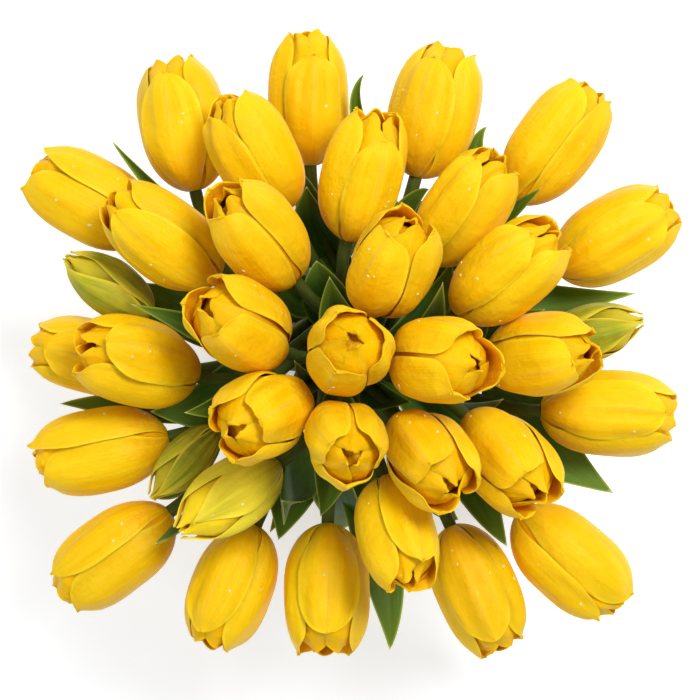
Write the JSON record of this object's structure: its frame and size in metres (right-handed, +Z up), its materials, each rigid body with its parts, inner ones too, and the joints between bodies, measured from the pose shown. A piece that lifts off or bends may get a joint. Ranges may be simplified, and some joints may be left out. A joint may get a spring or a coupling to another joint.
{
  "type": "bunch of tulips",
  "caption": "Domed hand-tied bunch of closed yellow tulips with a few green buds and leaves, standing on its splayed cut stems below a twine tie.",
  "frame": {"origin": "on the surface under the middle of the bunch's outline, at the height of the cut stem ends", "axes": "+Z up along the bunch, +Y towards the blooms at the top of the picture, +X to its right"},
  "size_m": [0.3025, 0.2897, 0.2761],
  "materials": {
    "petal_yellow": "satin petal",
    "bud_green": "satin petal",
    "bud_lime": "satin petal",
    "leaf_green": "waxy satin",
    "twine": "natural fibre"
  },
  "bodies": {
    "root": {"bloom_far_top_left": "petal_yellow", "bloom_top": "petal_yellow", "bloom_top_right": "petal_yellow", "bloom_far_top_right": "petal_yellow", "bloom_right_upper": "petal_yellow", "bloom_left_upper": "petal_yellow", "bloom_upper_left": "petal_yellow", "bloom_upper": "petal_yellow", "bloom_upper_right": "petal_yellow", "bloom_right_of_upper": "petal_yellow", "bloom_left_of_upper": "petal_yellow", "bloom_inner_upper_left": "petal_yellow", "bloom_inner_upper": "petal_yellow", "bloom_green_bud_left": "bud_green", "bloom_left_low": "petal_yellow", "bloom_left": "petal_yellow", "bloom_inner_left": "petal_yellow", "bloom_crown": "petal_yellow", "bloom_inner_right": "petal_yellow", "bloom_right": "petal_yellow", "bloom_green_bud_right": "bud_green", "bloom_far_right": "petal_yellow", "bloom_left_lower": "petal_yellow", "bloom_inner_lower_left": "petal_yellow", "bloom_crown_lower": "petal_yellow", "bloom_inner_lower_right": "petal_yellow", "bloom_lower_right": "petal_yellow", "bloom_green_bud_lower_left": "bud_green", "bloom_lime_bud_lower_left": "bud_lime", "bloom_far_lower_left": "petal_yellow", "bloom_bottom_left": "petal_yellow", "bloom_bottom": "petal_yellow", "bloom_lower": "petal_yellow", "bloom_bottom_right": "petal_yellow", "bloom_far_bottom_right": "petal_yellow", "stem_middle": "leaf_green", "stem_inner_1": "leaf_green", "stem_inner_2": "leaf_green", "stem_inner_3": "leaf_green", "stem_inner_4": "leaf_green", "stem_inner_5": "leaf_green", "stem_inner_6": "leaf_green", "stem_pair_second_ring_1": "leaf_green", "stem_pair_second_ring_2": "leaf_green", "stem_pair_second_ring_3": "leaf_green", "stem_pair_second_ring_4": "leaf_green", "stem_pair_second_ring_5": "leaf_green", "stem_pair_second_ring_6": "leaf_green", "stem_pair_outer_1": "leaf_green", "stem_pair_outer_2": "leaf_green", "stem_pair_outer_3": "leaf_green", "stem_pair_outer_4": "leaf_green", "stem_pair_outer_5": "leaf_green", "stem_pair_outer_6": "leaf_green", "stem_pair_outer_7": "leaf_green", "stem_pair_outer_8": "leaf_green", "twine_tie": "twine"}
  },
  "joints": []
}
